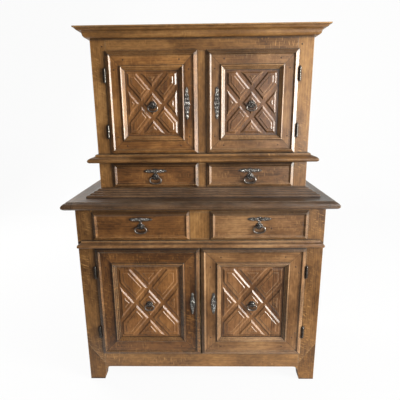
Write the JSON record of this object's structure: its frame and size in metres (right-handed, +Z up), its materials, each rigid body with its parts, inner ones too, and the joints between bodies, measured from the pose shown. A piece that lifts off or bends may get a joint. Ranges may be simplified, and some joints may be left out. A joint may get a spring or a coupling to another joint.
{
  "type": "two-body buffet",
  "caption": "Two-body provincial buffet with bevelled St Andrew's-cross doors, lipped drawers, moulded table and cornice, iron ring pulls and bails; doors, drawers and pulls move.",
  "frame": {"origin": "centre of the bounding box on the floor", "axes": "+Z up, -Y towards the front with the doors, +X to the right as seen from the front"},
  "size_m": [1.354, 0.652, 1.85],
  "materials": {
    "oak": "waxed",
    "dark_oak": "worn wax",
    "inner_wood": "bare",
    "iron": "forged and waxed",
    "worn_iron": "rubbed bright"
  },
  "bodies": {
    "carcass": {"lower_posts": "oak", "lower_front_rails": "oak", "lower_dividers": "oak", "lower_side_rails": "oak", "lower_side_panels": "oak", "lower_back_boards": "inner_wood", "lower_floor_boards": "inner_wood", "lower_shelf": "inner_wood", "lower_bearers": "inner_wood", "upper_posts": "oak", "upper_front_rails": "oak", "upper_dividers": "oak", "upper_side_rails": "oak", "upper_side_panels": "oak", "upper_back_boards": "inner_wood", "upper_floor_boards": "inner_wood", "upper_shelf": "inner_wood", "upper_bearers": "inner_wood", "lower_spliced_feet": "oak", "lower_apron": "oak", "table_top": "dark_oak", "lower_waist_moulding": "dark_oak", "upper_base_moulding": "dark_oak", "upper_waist_moulding": "dark_oak", "upper_cornice": "dark_oak", "upper_top_boards": "inner_wood", "hinge_pins": "iron"},
    "lower_left_door": {"lower_left_door_frame": "oak", "lower_left_door_panel": "oak", "lower_left_door_ironwork": "iron"},
    "lower_left_door_pull": {"lower_left_door_ring": "worn_iron"},
    "lower_left_drawer": {"lower_left_drawer_front": "oak", "lower_left_drawer_box": "inner_wood", "lower_left_drawer_ironwork": "iron"},
    "lower_left_drawer_pull": {"lower_left_drawer_bail": "worn_iron"},
    "lower_right_door": {"lower_right_door_frame": "oak", "lower_right_door_panel": "oak", "lower_right_door_ironwork": "iron"},
    "lower_right_door_pull": {"lower_right_door_ring": "worn_iron"},
    "lower_right_drawer": {"lower_right_drawer_front": "oak", "lower_right_drawer_box": "inner_wood", "lower_right_drawer_ironwork": "iron"},
    "lower_right_drawer_pull": {"lower_right_drawer_bail": "worn_iron"},
    "upper_left_door": {"upper_left_door_frame": "oak", "upper_left_door_panel": "oak", "upper_left_door_ironwork": "iron"},
    "upper_left_door_pull": {"upper_left_door_ring": "worn_iron"},
    "upper_left_drawer": {"upper_left_drawer_front": "oak", "upper_left_drawer_box": "inner_wood", "upper_left_drawer_ironwork": "iron"},
    "upper_left_drawer_pull": {"upper_left_drawer_bail": "worn_iron"},
    "upper_right_door": {"upper_right_door_frame": "oak", "upper_right_door_panel": "oak", "upper_right_door_ironwork": "iron"},
    "upper_right_door_pull": {"upper_right_door_ring": "worn_iron"},
    "upper_right_drawer": {"upper_right_drawer_front": "oak", "upper_right_drawer_box": "inner_wood", "upper_right_drawer_ironwork": "iron"},
    "upper_right_drawer_pull": {"upper_right_drawer_bail": "worn_iron"}
  },
  "joints": [
    {"name": "lower_left_door_hinge", "type": "hinge", "parent": "carcass", "child": "lower_left_door", "pos_m": [-0.5475, -0.2802, 0.476], "axis": [0, 0, -1], "range_deg": [0, 150]},
    {"name": "lower_left_door_ring_swing", "type": "hinge", "parent": "lower_left_door", "child": "lower_left_door_pull", "pos_m": [-0.272, -0.289, 0.47], "axis": [-1, 0, 0], "range_deg": [0, 100]},
    {"name": "lower_left_drawer_slide", "type": "slide", "parent": "carcass", "child": "lower_left_drawer", "axis": [0, -1, 0], "range_m": [0, 0.38]},
    {"name": "lower_left_drawer_bail_swing", "type": "hinge", "parent": "lower_left_drawer", "child": "lower_left_drawer_pull", "pos_m": [-0.297, -0.29, 0.9055], "axis": [-1, 0, 0], "range_deg": [0, 95]},
    {"name": "lower_right_door_hinge", "type": "hinge", "parent": "carcass", "child": "lower_right_door", "pos_m": [0.5475, -0.2802, 0.476], "axis": [0, 0, 1], "range_deg": [0, 150]},
    {"name": "lower_right_door_ring_swing", "type": "hinge", "parent": "lower_right_door", "child": "lower_right_door_pull", "pos_m": [0.272, -0.289, 0.47], "axis": [-1, 0, 0], "range_deg": [0, 100]},
    {"name": "lower_right_drawer_slide", "type": "slide", "parent": "carcass", "child": "lower_right_drawer", "axis": [0, -1, 0], "range_m": [0, 0.38]},
    {"name": "lower_right_drawer_bail_swing", "type": "hinge", "parent": "lower_right_drawer", "child": "lower_right_drawer_pull", "pos_m": [0.297, -0.29, 0.9055], "axis": [-1, 0, 0], "range_deg": [0, 95]},
    {"name": "upper_left_door_hinge", "type": "hinge", "parent": "carcass", "child": "upper_left_door", "pos_m": [-0.4555, -0.1702, 1.502], "axis": [0, 0, -1], "range_deg": [0, 150]},
    {"name": "upper_left_door_ring_swing", "type": "hinge", "parent": "upper_left_door", "child": "upper_left_door_pull", "pos_m": [-0.228, -0.179, 1.496], "axis": [-1, 0, 0], "range_deg": [0, 100]},
    {"name": "upper_left_drawer_slide", "type": "slide", "parent": "carcass", "child": "upper_left_drawer", "axis": [0, -1, 0], "range_m": [0, 0.3]},
    {"name": "upper_left_drawer_bail_swing", "type": "hinge", "parent": "upper_left_drawer", "child": "upper_left_drawer_pull", "pos_m": [-0.228, -0.18, 1.138], "axis": [-1, 0, 0], "range_deg": [0, 95]},
    {"name": "upper_right_door_hinge", "type": "hinge", "parent": "carcass", "child": "upper_right_door", "pos_m": [0.4855, -0.1702, 1.502], "axis": [0, 0, 1], "range_deg": [0, 150]},
    {"name": "upper_right_door_ring_swing", "type": "hinge", "parent": "upper_right_door", "child": "upper_right_door_pull", "pos_m": [0.258, -0.179, 1.496], "axis": [-1, 0, 0], "range_deg": [0, 100]},
    {"name": "upper_right_drawer_slide", "type": "slide", "parent": "carcass", "child": "upper_right_drawer", "axis": [0, -1, 0], "range_m": [0, 0.3]},
    {"name": "upper_right_drawer_bail_swing", "type": "hinge", "parent": "upper_right_drawer", "child": "upper_right_drawer_pull", "pos_m": [0.258, -0.18, 1.138], "axis": [-1, 0, 0], "range_deg": [0, 95]}
  ]
}
